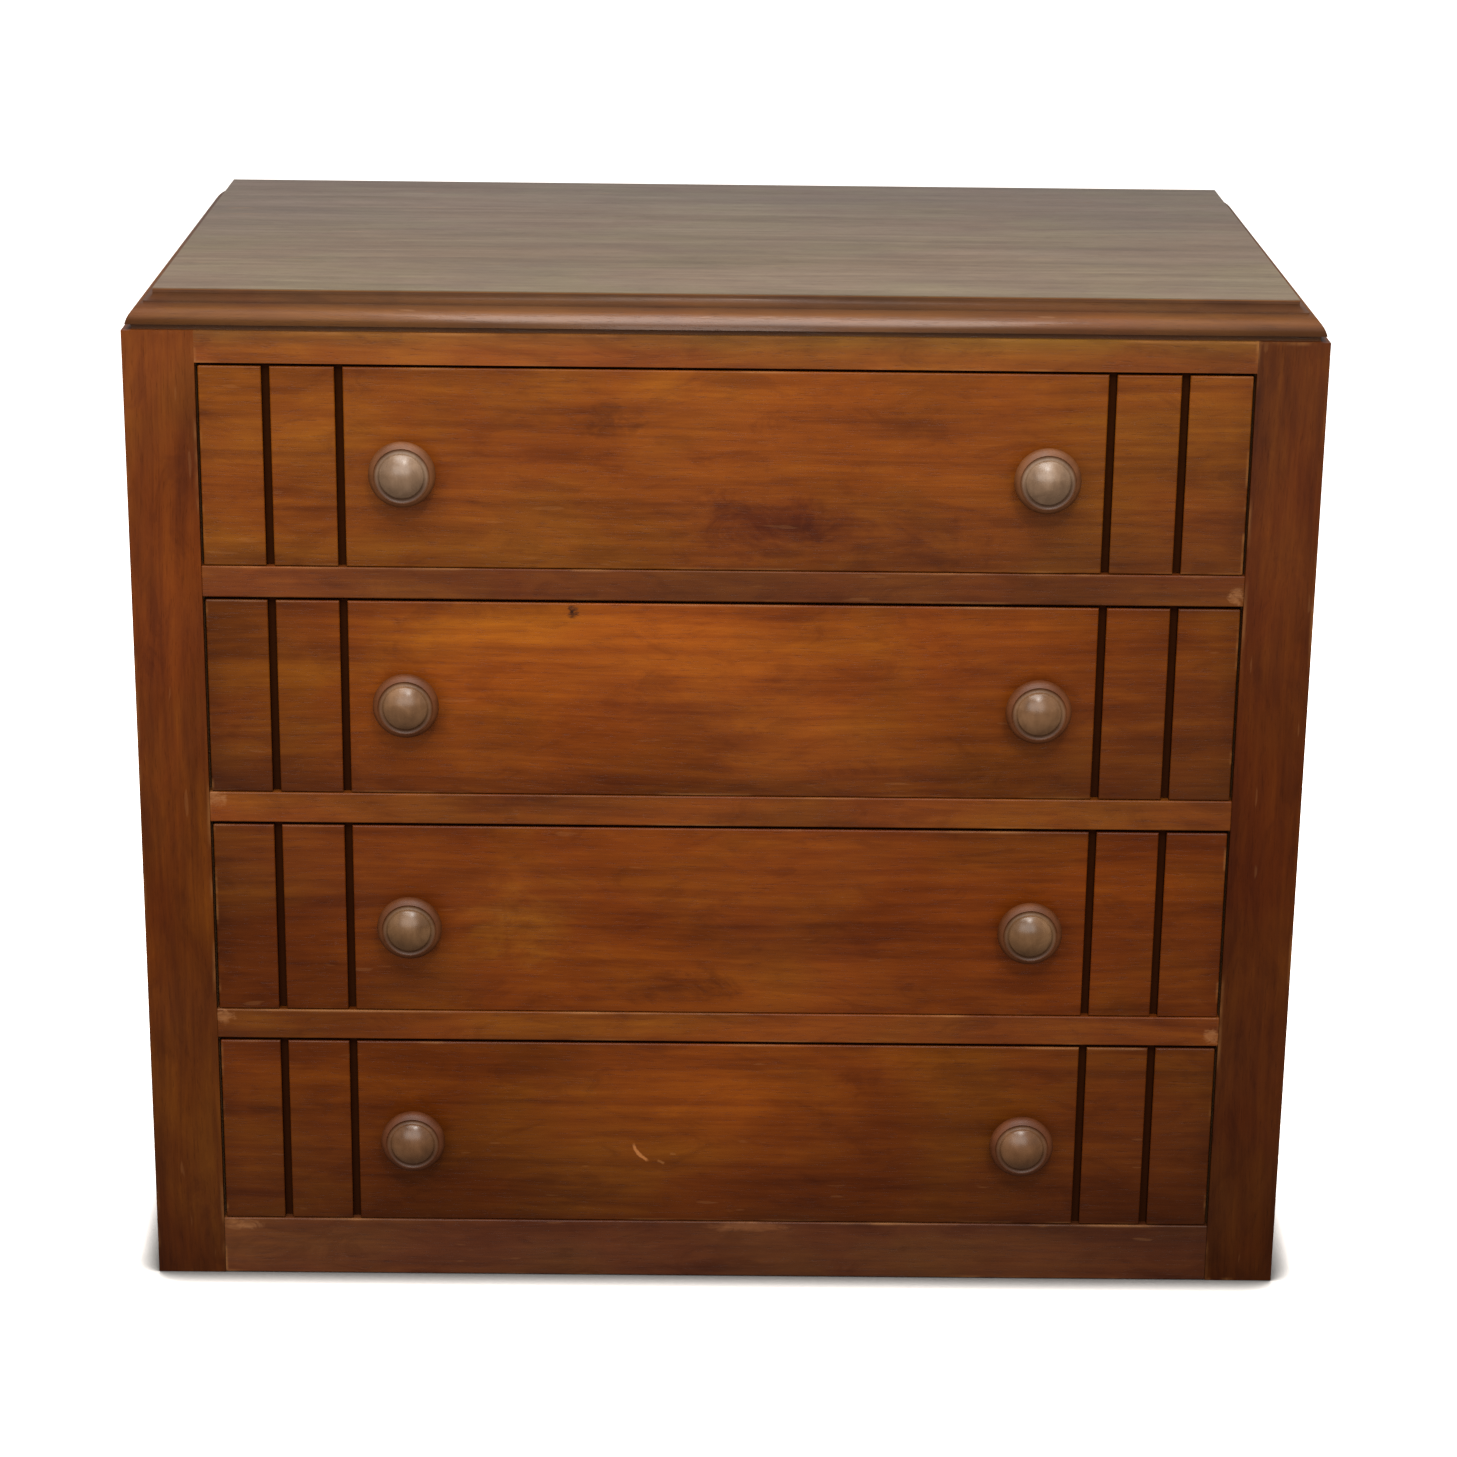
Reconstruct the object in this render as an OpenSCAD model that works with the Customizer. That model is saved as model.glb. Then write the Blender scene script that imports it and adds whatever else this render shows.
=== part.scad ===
// Miniature chest of four drawers: solid side boards, a moulded top, rails tenoned between the
// sides, and four lipless drawers with grooved fronts and two round knobs each.
// Millimetres, real size. +X to the right of someone facing the drawers, -Y towards them, +Z up.
// The origin is on the floor under the middle of the whole object, knobs included.

/* [Case] */
// Width across the two side boards
case_width = 330; // [300:1:360]
// Depth of the side boards
case_depth = 185; // [180:1:230]
// Thickness of each side board, seen edge-on from the front
side_thick = 19.7; // [17:0.1:24]
// Height of each drawer opening
opening_height = 57.6; // [50:0.1:72]
// Thickness of the rails between the drawers, and of the runners behind them
divider_thick = 8.9; // [8:0.1:12]
// Thickness of the rail above the top drawer
top_rail_thick = 8.7; // [8:0.1:12]
// Height of the rail below the lowest drawer
bottom_rail_height = 17.6; // [17:0.1:30]
// Depth of every rail from front to back
rail_depth = 18; // [17:0.5:24]
// Thickness of the back panel
back_thick = 5; // [4:0.5:6]
// Thickness of the bottom panel
bottom_thick = 6; // [4:0.5:6]

/* [Top] */
// Thickness of the top board
top_thick = 10.3; // [9.8:0.1:12]
// How far the flat of the top stands back from the case faces
top_inset = 7.9; // [7.6:0.1:10]
// Height of the shadow step between the case and the moulding
step_height = 1.5; // [1:0.1:2]
// How far the shadow step stands back from the case faces
step_depth = 2.4; // [1.5:0.1:3.5]
// How far the foot of the rounded part stands back from the case faces
round_foot = 0.9; // [0.5:0.1:1.3]
// How far the head of the rounded part stands back from the case faces
round_head = 5.2; // [4.8:0.1:5.4]
// Height of the head of the rounded part above the case
round_height = 6.7; // [6:0.1:6.9]
// How much the rounded part swells beyond a straight slope
round_swell = 0.8; // [0.4:0.1:1.2]
// Radius of the small cove under the edge of the flat
cove_radius = 1.9; // [1.5:0.1:2]

/* [Drawers] */
// Gap beside a drawer front, each side
side_gap = 0.8; // [0.5:0.1:1.2]
// Gap above a drawer front
top_gap = 0.9; // [0.5:0.1:1.2]
// Gap below a drawer front
under_gap = 0.2; // [0.1:0.1:0.4]
// How far the drawer fronts stand back from the rails
front_recess = 0.2; // [0:0.1:1]
// Thickness of a drawer front
front_thick = 14; // [13.5:0.1:14]
// Front-to-back length of a drawer
drawer_depth = 168; // [120:1:168]
// Thickness of the drawer sides and back
drawer_side_thick = 8; // [7:0.5:9]
// Thickness of a drawer bottom
drawer_bottom_thick = 3.5; // [3:0.5:4]
// Distance of the outer pair of decorative grooves from the middle
groove_outer = 126.06; // [118:0.01:128]
// Distance of the inner pair of decorative grooves from the middle
groove_inner = 106.06; // [100:0.01:110]
// Width of a decorative groove
groove_width = 2.25; // [1.5:0.05:3]
// Depth of a decorative groove
groove_depth = 2.4; // [1.5:0.1:3]

/* [Knobs] */
// Distance of each knob from the middle
knob_x = 88.5; // [70:0.5:92]
// Diameter of the knob head
knob_diameter = 18.5; // [17:0.1:20]
// Diameter of the raised dome on the knob head
dome_diameter = 13.7; // [12:0.1:14]
// How far a knob stands out from the drawer front
knob_length = 11.7; // [11:0.1:13]
// Diameter of the knob neck
neck_diameter = 8.6; // [7:0.1:10]

/* [Hidden] */
$fn = 64;

// Case
case_height = bottom_rail_height + 4 * opening_height + 3 * divider_thick + top_rail_thick;
knob_reach = knob_length - front_recess;      // knob beyond the plane of the rails
front_y = -(case_depth + knob_reach) / 2 + knob_reach;
back_y = front_y + case_depth;
case_half = case_width / 2;
open_half = case_half - side_thick;           // inner face of a side board
rail_back = front_y + rail_depth;
inside_back = back_y - back_thick;            // front face of the back panel
rebate = 8;                                   // how far the back panel is let into a side
tongue = 5;                                   // how far the bottom panel is let into a side
let_in = 2;                                   // how far a runner is let into a side
tenon = 6;
tenon_set = 5;                                // tenon shoulder at the front and the back
runner_width = 12;
panel_z = bottom_rail_height - bottom_thick;
pin_radius = 0.6;
pin_reach = 9;
screw_radius = 1.5;
screw_head_radius = 3;
screw_head_thick = 2;
fit = 0.05;                                   // radial clearance round a screw or a pin
top_screw_x = 100;
over = 1;                                     // a cut runs this far past the face it opens

// Floor of drawer opening n, counted from the top
function opening_z(n) = bottom_rail_height + (4 - n) * (opening_height + divider_thick);
function pin_z(i) = 22 + i * (case_height - 44) / 4;

// Drawers
front_half = open_half - side_gap;
front_height = opening_height - top_gap - under_gap;
front_y0 = front_y + front_recess;
front_y1 = front_y0 + front_thick;
drawer_side_height = front_height - 1;
lap = 5;                                      // front timber left in front of a drawer side
bottom_groove = 3;
bottom_lift = 4.5;
drawer_end = front_y0 + drawer_depth;
back_set = 6;                                 // drawer back in from the ends of the sides
inner_half = front_half - drawer_side_thick;

wood_case = [0.42, 0.23, 0.12];
wood_rail = [0.48, 0.27, 0.14];
wood_front = [0.55, 0.30, 0.13];
wood_inner = [0.70, 0.55, 0.36];
ply = [0.62, 0.48, 0.32];
knob_brown = [0.46, 0.33, 0.26];
steel = [0.62, 0.62, 0.62];

module slab(x0, x1, y0, y1, z0, z1) {
  translate([x0, y0, z0]) cube([x1 - x0, y1 - y0, z1 - z0]);
}

// The same block on the left (s = -1) or on the right (s = 1)
module sided(s, x0, x1, y0, y1, z0, z1) {
  slab(s > 0 ? x0 : -x1, s > 0 ? x1 : -x0, y0, y1, z0, z1);
}

module mortise(s, y0, z0, h, th) {
  sided(s, open_half - over, open_half + tenon, y0 + tenon_set, y0 + rail_depth - tenon_set,
        z0 + h / 2 - th / 2, z0 + h / 2 + th / 2);
}

module side_board(s) {
  difference() {
    sided(s, open_half, case_half, front_y, back_y, 0, case_height);
    sided(s, open_half - over, open_half + rebate, inside_back, back_y + over, -over, case_height + over);
    sided(s, open_half - over, open_half + tongue, rail_back, inside_back + 0.5, panel_z, panel_z + bottom_thick);
    for (n = [1:3]) {
      sided(s, open_half - over, open_half + let_in, rail_back, inside_back + 0.5,
            opening_z(n) - divider_thick, opening_z(n));
      mortise(s, front_y, opening_z(n) - divider_thick, divider_thick, 4);
    }
    mortise(s, front_y, 0, bottom_rail_height, 8);
    mortise(s, front_y, case_height - top_rail_thick, top_rail_thick, 4);
    mortise(s, inside_back - rail_depth, case_height - top_rail_thick, top_rail_thick, 4);
    for (i = [0:4])
      translate([s * (open_half + rebate / 2), inside_back + 0.5, pin_z(i)]) rotate([90, 0, 0])
        cylinder(r = pin_radius + fit, h = pin_reach + 0.5 + 0.3);
  }
}

module side_left() { color(wood_case) side_board(-1); }
module side_right() { color(wood_case) side_board(1); }

// Section of the top board from its middle to a moulded edge at x = reach. From the floor of the
// board up: a shadow step, a rounded part that leans inwards, a fine arris, a small cove and a
// square fillet.
module edge_section(reach) {
  run = round_head - round_foot;
  rise = round_height - step_height;
  chord = sqrt(run * run + rise * rise);
  arc_r = chord * chord / (8 * round_swell) + round_swell / 2;
  arc_in = (round_head + round_foot) / 2 + (arc_r - round_swell) * rise / chord;
  arc_z = (round_height + step_height) / 2 - (arc_r - round_swell) * run / chord;
  arris_z = round_height + 0.5;
  union() {
    square([reach - step_depth, step_height + 1]);
    square([reach - arc_in, round_height]);
    intersection() {
      translate([reach - arc_in, arc_z]) circle(r = arc_r, $fn = 180);
      translate([reach - arc_in - 0.5, step_height]) square([arc_in + 1, rise]);
    }
    square([reach - round_head - 0.3, arris_z]);
    square([reach - top_inset, top_thick]);
    difference() {
      translate([reach - top_inset - 0.5, arris_z - 0.5]) square([cove_radius + 0.5, cove_radius + 0.5]);
      translate([reach - top_inset + cove_radius, arris_z + cove_radius]) circle(r = cove_radius);
    }
  }
}

// The moulding runs along the front and both sides and mitres at the corners; the back is square.
module top_board() {
  depth = case_depth;
  color(wood_case)
  difference() {
    translate([0, back_y, case_height])
    intersection() {
      translate([0, 0, 0]) rotate([90, 0, 0]) linear_extrude(height = depth + 2, convexity = 6) {
        edge_section(case_half);
        mirror([1, 0]) edge_section(case_half);
      }
      translate([-case_half - 1, 0, 0]) rotate([90, 0, 90]) mirror([1, 0, 0])
        linear_extrude(height = case_width + 2, convexity = 6) edge_section(depth);
    }
    for (x = [-top_screw_x, top_screw_x], y = [front_y + rail_depth / 2, inside_back - rail_depth / 2])
      translate([x, y, case_height - over]) cylinder(r = screw_radius + fit, h = over + 6.3);
  }
}

// A bar between the side boards with a stub tenon on each end
module rail(y0, z0, h, th) {
  slab(-open_half, open_half, y0, y0 + rail_depth, z0, z0 + h);
  slab(-open_half - tenon, open_half + tenon, y0 + tenon_set, y0 + rail_depth - tenon_set,
       z0 + h / 2 - th / 2, z0 + h / 2 + th / 2);
}

// Rail under the top board, bored from below for two screws with sunk heads
module top_rail(y0) {
  difference() {
    rail(y0, case_height - top_rail_thick, top_rail_thick, 4);
    for (x = [-top_screw_x, top_screw_x])
      translate([x, y0 + rail_depth / 2, case_height - top_rail_thick - over]) {
        cylinder(r = screw_radius + fit, h = top_rail_thick + 2 * over);
        cylinder(r = screw_head_radius + 0.1, h = over + screw_head_thick + 0.4);
      }
  }
}

module top_front_rail() { color(wood_rail) top_rail(front_y); }
module top_back_rail() { color(wood_inner) top_rail(inside_back - rail_depth); }
module divider(n) { color(wood_rail) rail(front_y, opening_z(n) - divider_thick, divider_thick, 4); }
module divider_1() { divider(1); }
module divider_2() { divider(2); }
module divider_3() { divider(3); }
module bottom_rail() { color(wood_rail) rail(front_y, 0, bottom_rail_height, 8); }

module bottom_panel() {
  color(ply) slab(-open_half - tongue, open_half + tongue, rail_back, inside_back, panel_z, panel_z + bottom_thick);
}

module back_panel() {
  color(ply)
  difference() {
    slab(-open_half - rebate, open_half + rebate, inside_back, back_y, 0, case_height);
    for (s = [-1, 1], i = [0:4])
      translate([s * (open_half + rebate / 2), back_y + over, pin_z(i)]) rotate([90, 0, 0]) {
        cylinder(r = pin_radius + fit, h = back_thick + 2 * over);
        cylinder(r = 1.4, h = over + 0.5);
      }
  }
}

// Runner behind a divider; the drawer above slides on it
module runner(n, s) {
  color(wood_inner)
    sided(s, open_half - runner_width, open_half + let_in, rail_back, inside_back,
          opening_z(n) - divider_thick, opening_z(n));
}
module runner_1_left() { runner(1, -1); }
module runner_1_right() { runner(1, 1); }
module runner_2_left() { runner(2, -1); }
module runner_2_right() { runner(2, 1); }
module runner_3_left() { runner(3, -1); }
module runner_3_right() { runner(3, 1); }

// Strip under the top board that stops the top drawer tipping as it is pulled out
module kicker(s) {
  color(wood_inner)
    sided(s, open_half - runner_width, open_half, rail_back, inside_back - rail_depth,
          case_height - top_rail_thick, case_height);
}
module kicker_left() { kicker(-1); }
module kicker_right() { kicker(1); }

// Two small blocks on each rail that meet the back of the drawer front
module drawer_stops() {
  color(wood_inner)
  for (n = [1:4], x = [-60, 60])
    slab(x - 10, x + 10, front_y1 + 0.1, rail_back - 0.2, opening_z(n), opening_z(n) + 3);
}

// Triangular blocks in the corner under the bottom panel
module glue_blocks() {
  b = 10;
  color(wood_inner)
  for (x = [-90, 0, 90])
    translate([x - 20, rail_back, panel_z]) rotate([90, 0, 90])
      linear_extrude(height = 40) polygon([[0, 0], [b, 0], [0, -b]]);
}

// A screw along +Z: slotted head from z = 0 down, shank from z = 0 up
module screw(reach) {
  difference() {
    union() {
      cylinder(r = screw_radius, h = reach);
      translate([0, 0, -screw_head_thick]) cylinder(r = screw_head_radius, h = screw_head_thick);
    }
    translate([-screw_head_radius - over, -0.4, -screw_head_thick - over])
      cube([2 * screw_head_radius + 2 * over, 0.8, over + 0.8]);
  }
}

module top_screws() {
  seat = case_height - top_rail_thick + screw_head_thick + 0.4;
  color(steel)
  for (x = [-top_screw_x, top_screw_x], y = [front_y + rail_depth / 2, inside_back - rail_depth / 2])
    translate([x, y, seat]) screw(case_height + 6 - seat);
}

module back_panel_pins() {
  color(steel)
  for (s = [-1, 1], i = [0:4])
    translate([s * (open_half + rebate / 2), back_y, pin_z(i)]) rotate([90, 0, 0])
      union() {
        cylinder(r = pin_radius, h = back_thick + pin_reach);
        cylinder(r = 1.3, h = 0.5);
      }
}

module drawer_front(n) {
  z = opening_z(n) + under_gap;
  color(wood_front)
  difference() {
    slab(-front_half, front_half, front_y0, front_y1, z, z + front_height);
    for (s = [-1, 1]) {
      for (g = [groove_outer, groove_inner])
        slab(s * g - groove_width / 2, s * g + groove_width / 2, front_y0 - over, front_y0 + groove_depth,
             z - over, z + front_height + over);
      sided(s, inner_half, front_half + over, front_y0 + lap, front_y1 + over, z - over, z + front_height + over);
      translate([s * knob_x, front_y1 + over, z + front_height / 2]) rotate([90, 0, 0])
        cylinder(r = screw_radius + fit, h = front_thick + 2 * over);
    }
    slab(-inner_half - over, inner_half + over, front_y1 - bottom_groove, front_y1 + over,
         z + bottom_lift, z + bottom_lift + drawer_bottom_thick);
  }
}

module drawer_side(n, s) {
  z = opening_z(n) + under_gap;
  color(wood_inner)
  difference() {
    sided(s, inner_half, front_half, front_y0 + lap, drawer_end, z, z + drawer_side_height);
    sided(s, inner_half - over, inner_half + bottom_groove, front_y0 + lap - over, drawer_end + over,
          z + bottom_lift, z + bottom_lift + drawer_bottom_thick);
    sided(s, inner_half - over, inner_half + bottom_groove,
          drawer_end - back_set - drawer_side_thick, drawer_end - back_set,
          z + bottom_lift + drawer_bottom_thick, z + drawer_side_height - 3);
  }
}

module drawer_back(n) {
  z = opening_z(n) + under_gap;
  color(wood_inner)
    slab(-inner_half - bottom_groove, inner_half + bottom_groove,
         drawer_end - back_set - drawer_side_thick, drawer_end - back_set,
         z + bottom_lift + drawer_bottom_thick, z + drawer_side_height - 3);
}

module drawer_bottom(n) {
  z = opening_z(n) + under_gap;
  color(ply)
    slab(-inner_half - bottom_groove, inner_half + bottom_groove,
         front_y1 - bottom_groove, drawer_end - back_set,
         z + bottom_lift, z + bottom_lift + drawer_bottom_thick);
}

// Section of a knob: distance from the axis, then distance out from the drawer front
module knob_section() {
  head_r = knob_diameter / 2;
  edge_r = 2.1;
  head_back = knob_length - 6.6;
  head_face = head_back + 2 * edge_r;
  dome_r = dome_diameter / 2;
  dome_rise = knob_length - head_face + 0.35;
  ball = (dome_r * dome_r + dome_rise * dome_rise) / (2 * dome_rise);
  difference() {
    union() {
      square([neck_diameter / 2 + 0.9, 0.9]);
      square([neck_diameter / 2, head_back + 1]);
      translate([0, head_back]) square([head_r - edge_r, 2 * edge_r]);
      translate([head_r - edge_r, head_back + edge_r]) circle(r = edge_r);
      intersection() {
        translate([0, head_back + 1]) square([dome_r, knob_length]);
        translate([0, knob_length - ball]) circle(r = ball, $fn = 128);
      }
    }
    translate([dome_r + 0.1, head_face + 0.25]) circle(r = 0.8);
    translate([-over, -over]) square([over + screw_radius + fit, over + 8]);
    translate([-30, -1]) square([30, 30]);
  }
}

module knob(n, s) {
  color(knob_brown)
    translate([s * knob_x, front_y0, opening_z(n) + under_gap + front_height / 2])
      rotate([90, 0, 0]) rotate_extrude(convexity = 6) knob_section();
}

module knob_screws(n) {
  color(steel)
  for (s = [-1, 1])
    translate([s * knob_x, front_y1, opening_z(n) + under_gap + front_height / 2])
      rotate([90, 0, 0]) screw(front_thick + 7.5);
}

side_left();
side_right();
top_board();
bottom_panel();
back_panel();
top_front_rail();
top_back_rail();
divider_1();
divider_2();
divider_3();
bottom_rail();
runner_1_left();
runner_1_right();
runner_2_left();
runner_2_right();
runner_3_left();
runner_3_right();
kicker_left();
kicker_right();
drawer_stops();
glue_blocks();
top_screws();
back_panel_pins();
drawer_front(1);  // drawer_1_front
drawer_side(1, -1);  // drawer_1_side_left
drawer_side(1, 1);  // drawer_1_side_right
drawer_back(1);  // drawer_1_back
drawer_bottom(1);  // drawer_1_bottom
knob(1, -1);  // drawer_1_knob_left
knob(1, 1);  // drawer_1_knob_right
knob_screws(1);  // drawer_1_knob_screws
drawer_front(2);  // drawer_2_front
drawer_side(2, -1);  // drawer_2_side_left
drawer_side(2, 1);  // drawer_2_side_right
drawer_back(2);  // drawer_2_back
drawer_bottom(2);  // drawer_2_bottom
knob(2, -1);  // drawer_2_knob_left
knob(2, 1);  // drawer_2_knob_right
knob_screws(2);  // drawer_2_knob_screws
drawer_front(3);  // drawer_3_front
drawer_side(3, -1);  // drawer_3_side_left
drawer_side(3, 1);  // drawer_3_side_right
drawer_back(3);  // drawer_3_back
drawer_bottom(3);  // drawer_3_bottom
knob(3, -1);  // drawer_3_knob_left
knob(3, 1);  // drawer_3_knob_right
knob_screws(3);  // drawer_3_knob_screws
drawer_front(4);  // drawer_4_front
drawer_side(4, -1);  // drawer_4_side_left
drawer_side(4, 1);  // drawer_4_side_right
drawer_back(4);  // drawer_4_back
drawer_bottom(4);  // drawer_4_bottom
knob(4, -1);  // drawer_4_knob_left
knob(4, 1);  // drawer_4_knob_right
knob_screws(4);  // drawer_4_knob_screws
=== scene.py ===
import bpy, bmesh, math
import numpy as np
from mathutils import Matrix, Vector


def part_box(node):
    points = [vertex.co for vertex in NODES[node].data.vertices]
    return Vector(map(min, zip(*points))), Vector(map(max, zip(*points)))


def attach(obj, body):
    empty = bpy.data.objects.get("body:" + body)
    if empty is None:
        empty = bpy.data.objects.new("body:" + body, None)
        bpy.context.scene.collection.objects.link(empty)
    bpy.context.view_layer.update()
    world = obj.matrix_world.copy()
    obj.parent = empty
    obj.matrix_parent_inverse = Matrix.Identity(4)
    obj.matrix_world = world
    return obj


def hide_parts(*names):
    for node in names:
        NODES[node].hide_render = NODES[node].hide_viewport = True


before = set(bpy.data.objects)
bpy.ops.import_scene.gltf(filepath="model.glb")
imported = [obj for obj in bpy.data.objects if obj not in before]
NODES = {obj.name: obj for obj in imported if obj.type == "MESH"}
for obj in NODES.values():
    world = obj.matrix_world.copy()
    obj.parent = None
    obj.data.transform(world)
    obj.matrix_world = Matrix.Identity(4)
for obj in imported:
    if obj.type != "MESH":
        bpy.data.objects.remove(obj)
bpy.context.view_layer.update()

MM = 0.001


# ---------------------------------------------------------------- shader helpers
class Graph:
    """A few short calls for wiring a material's nodes."""

    def __init__(self, name):
        self.mat = bpy.data.materials.new(name)
        self.mat.use_nodes = True
        self.t = self.mat.node_tree
        self.t.nodes.clear()
        self.out = self.t.nodes.new("ShaderNodeOutputMaterial")
        self.coord = self.t.nodes.new("ShaderNodeTexCoord").outputs["Object"]
        self.sep = self.t.nodes.new("ShaderNodeSeparateXYZ")
        self.t.links.new(self.coord, self.sep.inputs[0])

    def put(self, socket, value):
        if value is None:
            return
        if isinstance(value, bpy.types.NodeSocket):
            self.t.links.new(value, socket)
        elif isinstance(value, (tuple, list)) and len(value) == 3 and socket.type == "RGBA":
            socket.default_value = (*value, 1)
        else:
            socket.default_value = value

    def axis(self, i):
        return self.sep.outputs[i]

    def math(self, op, a, b=None, c=None, clamp=False):
        n = self.t.nodes.new("ShaderNodeMath")
        n.operation, n.use_clamp = op, clamp
        for k, v in enumerate((a, b, c)):
            self.put(n.inputs[k], v)
        return n.outputs[0]

    def vmap(self, scale, loc=(0, 0, 0), rot=(0, 0, 0), vec=None):
        n = self.t.nodes.new("ShaderNodeMapping")
        self.put(n.inputs["Vector"], vec if vec is not None else self.coord)
        n.inputs["Scale"].default_value = scale
        n.inputs["Location"].default_value = loc
        n.inputs["Rotation"].default_value = rot
        return n.outputs[0]

    def noise(self, vec, scale=1.0, detail=3.0, rough=0.5, distort=0.0):
        n = self.t.nodes.new("ShaderNodeTexNoise")
        self.put(n.inputs["Vector"], vec)
        n.inputs["Scale"].default_value = scale
        n.inputs["Detail"].default_value = detail
        n.inputs["Roughness"].default_value = rough
        n.inputs["Distortion"].default_value = distort
        return n.outputs[0]

    def voronoi(self, vec, scale=1.0, feature="F1"):
        n = self.t.nodes.new("ShaderNodeTexVoronoi")
        n.feature = feature
        self.put(n.inputs["Vector"], vec)
        n.inputs["Scale"].default_value = scale
        return n.outputs["Distance"]

    def ramp(self, fac, stops, smooth=False):
        n = self.t.nodes.new("ShaderNodeValToRGB")
        r = n.color_ramp
        r.interpolation = "EASE" if smooth else "LINEAR"
        while len(r.elements) < len(stops):
            r.elements.new(0.5)
        for e, (p, c) in zip(r.elements, stops):
            e.position = p
            e.color = (c, c, c, 1) if isinstance(c, (int, float)) else (*c, 1)
        self.put(n.inputs[0], fac)
        return n.outputs[0]

    def range(self, v, a, b, c=0.0, d=1.0, kind="SMOOTHSTEP"):
        n = self.t.nodes.new("ShaderNodeMapRange")
        n.interpolation_type = kind
        self.put(n.inputs[0], v)
        for k, x in enumerate((a, b, c, d)):
            self.put(n.inputs[k + 1], x)
        return n.outputs[0]

    def mix(self, fac, a, b, mode="MIX"):
        n = self.t.nodes.new("ShaderNodeMix")
        n.data_type, n.blend_type = "RGBA", mode
        self.put(n.inputs[0], fac)
        self.put(n.inputs[6], a)
        self.put(n.inputs[7], b)
        return n.outputs[2]

    def bump(self, height, distance, strength=1.0, normal=None):
        n = self.t.nodes.new("ShaderNodeBump")
        n.inputs["Strength"].default_value = strength
        n.inputs["Distance"].default_value = distance
        self.put(n.inputs["Height"], height)
        self.put(n.inputs["Normal"], normal)
        return n.outputs[0]

    def face_normal(self):
        """Normal of the face, in the piece's own frame."""
        g = self.t.nodes.new("ShaderNodeNewGeometry")
        v = self.t.nodes.new("ShaderNodeVectorTransform")
        v.vector_type, v.convert_from, v.convert_to = "NORMAL", "WORLD", "OBJECT"
        self.t.links.new(g.outputs["True Normal"], v.inputs[0])
        s = self.t.nodes.new("ShaderNodeSeparateXYZ")
        self.t.links.new(v.outputs[0], s.inputs[0])
        return s.outputs

    def edge_distance(self, lo, hi):
        """Distance from a box's surface point to the nearest arris of the box."""
        d = []
        for i in range(3):
            a = self.math("ABSOLUTE", self.math("SUBTRACT", self.axis(i), lo[i]))
            b = self.math("ABSOLUTE", self.math("SUBTRACT", hi[i], self.axis(i)))
            d.append(self.math("MINIMUM", a, b))
        low = self.math("MINIMUM", self.math("MINIMUM", d[0], d[1]), d[2])
        high = self.math("MAXIMUM", self.math("MAXIMUM", d[0], d[1]), d[2])
        total = self.math("ADD", self.math("ADD", d[0], d[1]), d[2])
        return self.math("SUBTRACT", self.math("SUBTRACT", total, low), high)

    def surface(self, color, rough, normal=None, spec=0.5, metallic=0.0, coat=0.0, coat_rough=0.1, coat_normal=None, sheen=0.0):
        p = self.t.nodes.new("ShaderNodeBsdfPrincipled")
        self.put(p.inputs["Base Color"], color)
        self.put(p.inputs["Roughness"], rough)
        self.put(p.inputs["Metallic"], metallic)
        self.put(p.inputs["Specular IOR Level"], spec)
        self.put(p.inputs["Normal"], normal)
        self.put(p.inputs["Coat Weight"], coat)
        self.put(p.inputs["Coat Roughness"], coat_rough)
        self.put(p.inputs["Coat Normal"], coat_normal if coat_normal is not None else normal)
        self.put(p.inputs["Sheen Weight"], sheen)
        self.t.links.new(p.outputs[0], self.out.inputs[0])
        return self.mat


def srgb(r, g, b):
    """A colour as linear light from 0-255 display values."""
    f = lambda c: c / 12.92 if c <= 0.04045 else ((c + 0.055) / 1.055) ** 2.4
    return tuple(f(x / 255) for x in (r, g, b))


def scaled(c, k):
    return tuple(min(1.0, x * k) for x in c)


def along(axis, long, cross):
    return tuple(long if i == axis else cross for i in range(3))


BARE_DARK, BARE_LIGHT = srgb(126, 87, 54), srgb(193, 150, 106)


def grain(g, axis, seed, wobble=1.0):
    """Layers of wood figure that run along one axis: broad streaks, fine streaks, fibres and pores."""
    off = (seed * 3.17, seed * 1.71, seed * 2.39)
    warp = g.noise(g.vmap(along(axis, 5, 16), off), 1.0, 2, 0.5)
    n = g.t.nodes.new("ShaderNodeVectorMath")
    n.operation = "MULTIPLY_ADD"
    v = g.t.nodes.new("ShaderNodeCombineXYZ")
    for i in range(3):
        if i != axis:
            g.put(v.inputs[i], warp)
    g.put(n.inputs[0], v.outputs[0])
    n.inputs[1].default_value = (0.011 * wobble,) * 3
    g.put(n.inputs[2], g.coord)
    vec = n.outputs[0]
    broad = g.noise(g.vmap(along(axis, 5, 95), off, vec=vec), 1.0, 3, 0.55, 0.25)
    streak = g.noise(g.vmap(along(axis, 17, 360), off, vec=vec), 1.0, 4, 0.6, 0.2)
    fibre = g.noise(g.vmap(along(axis, 70, 1700), off, vec=vec), 1.0, 3, 0.6)
    pore = g.noise(g.vmap(along(axis, 210, 3600), off, vec=vec), 1.0, 2, 0.5)
    pore = g.range(pore, 0.60, 0.70)
    cloud = g.noise(g.vmap(along(axis, 11, 17), off), 1.0, 3, 0.55, 0.4)
    return broad, streak, fibre, pore, cloud


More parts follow.
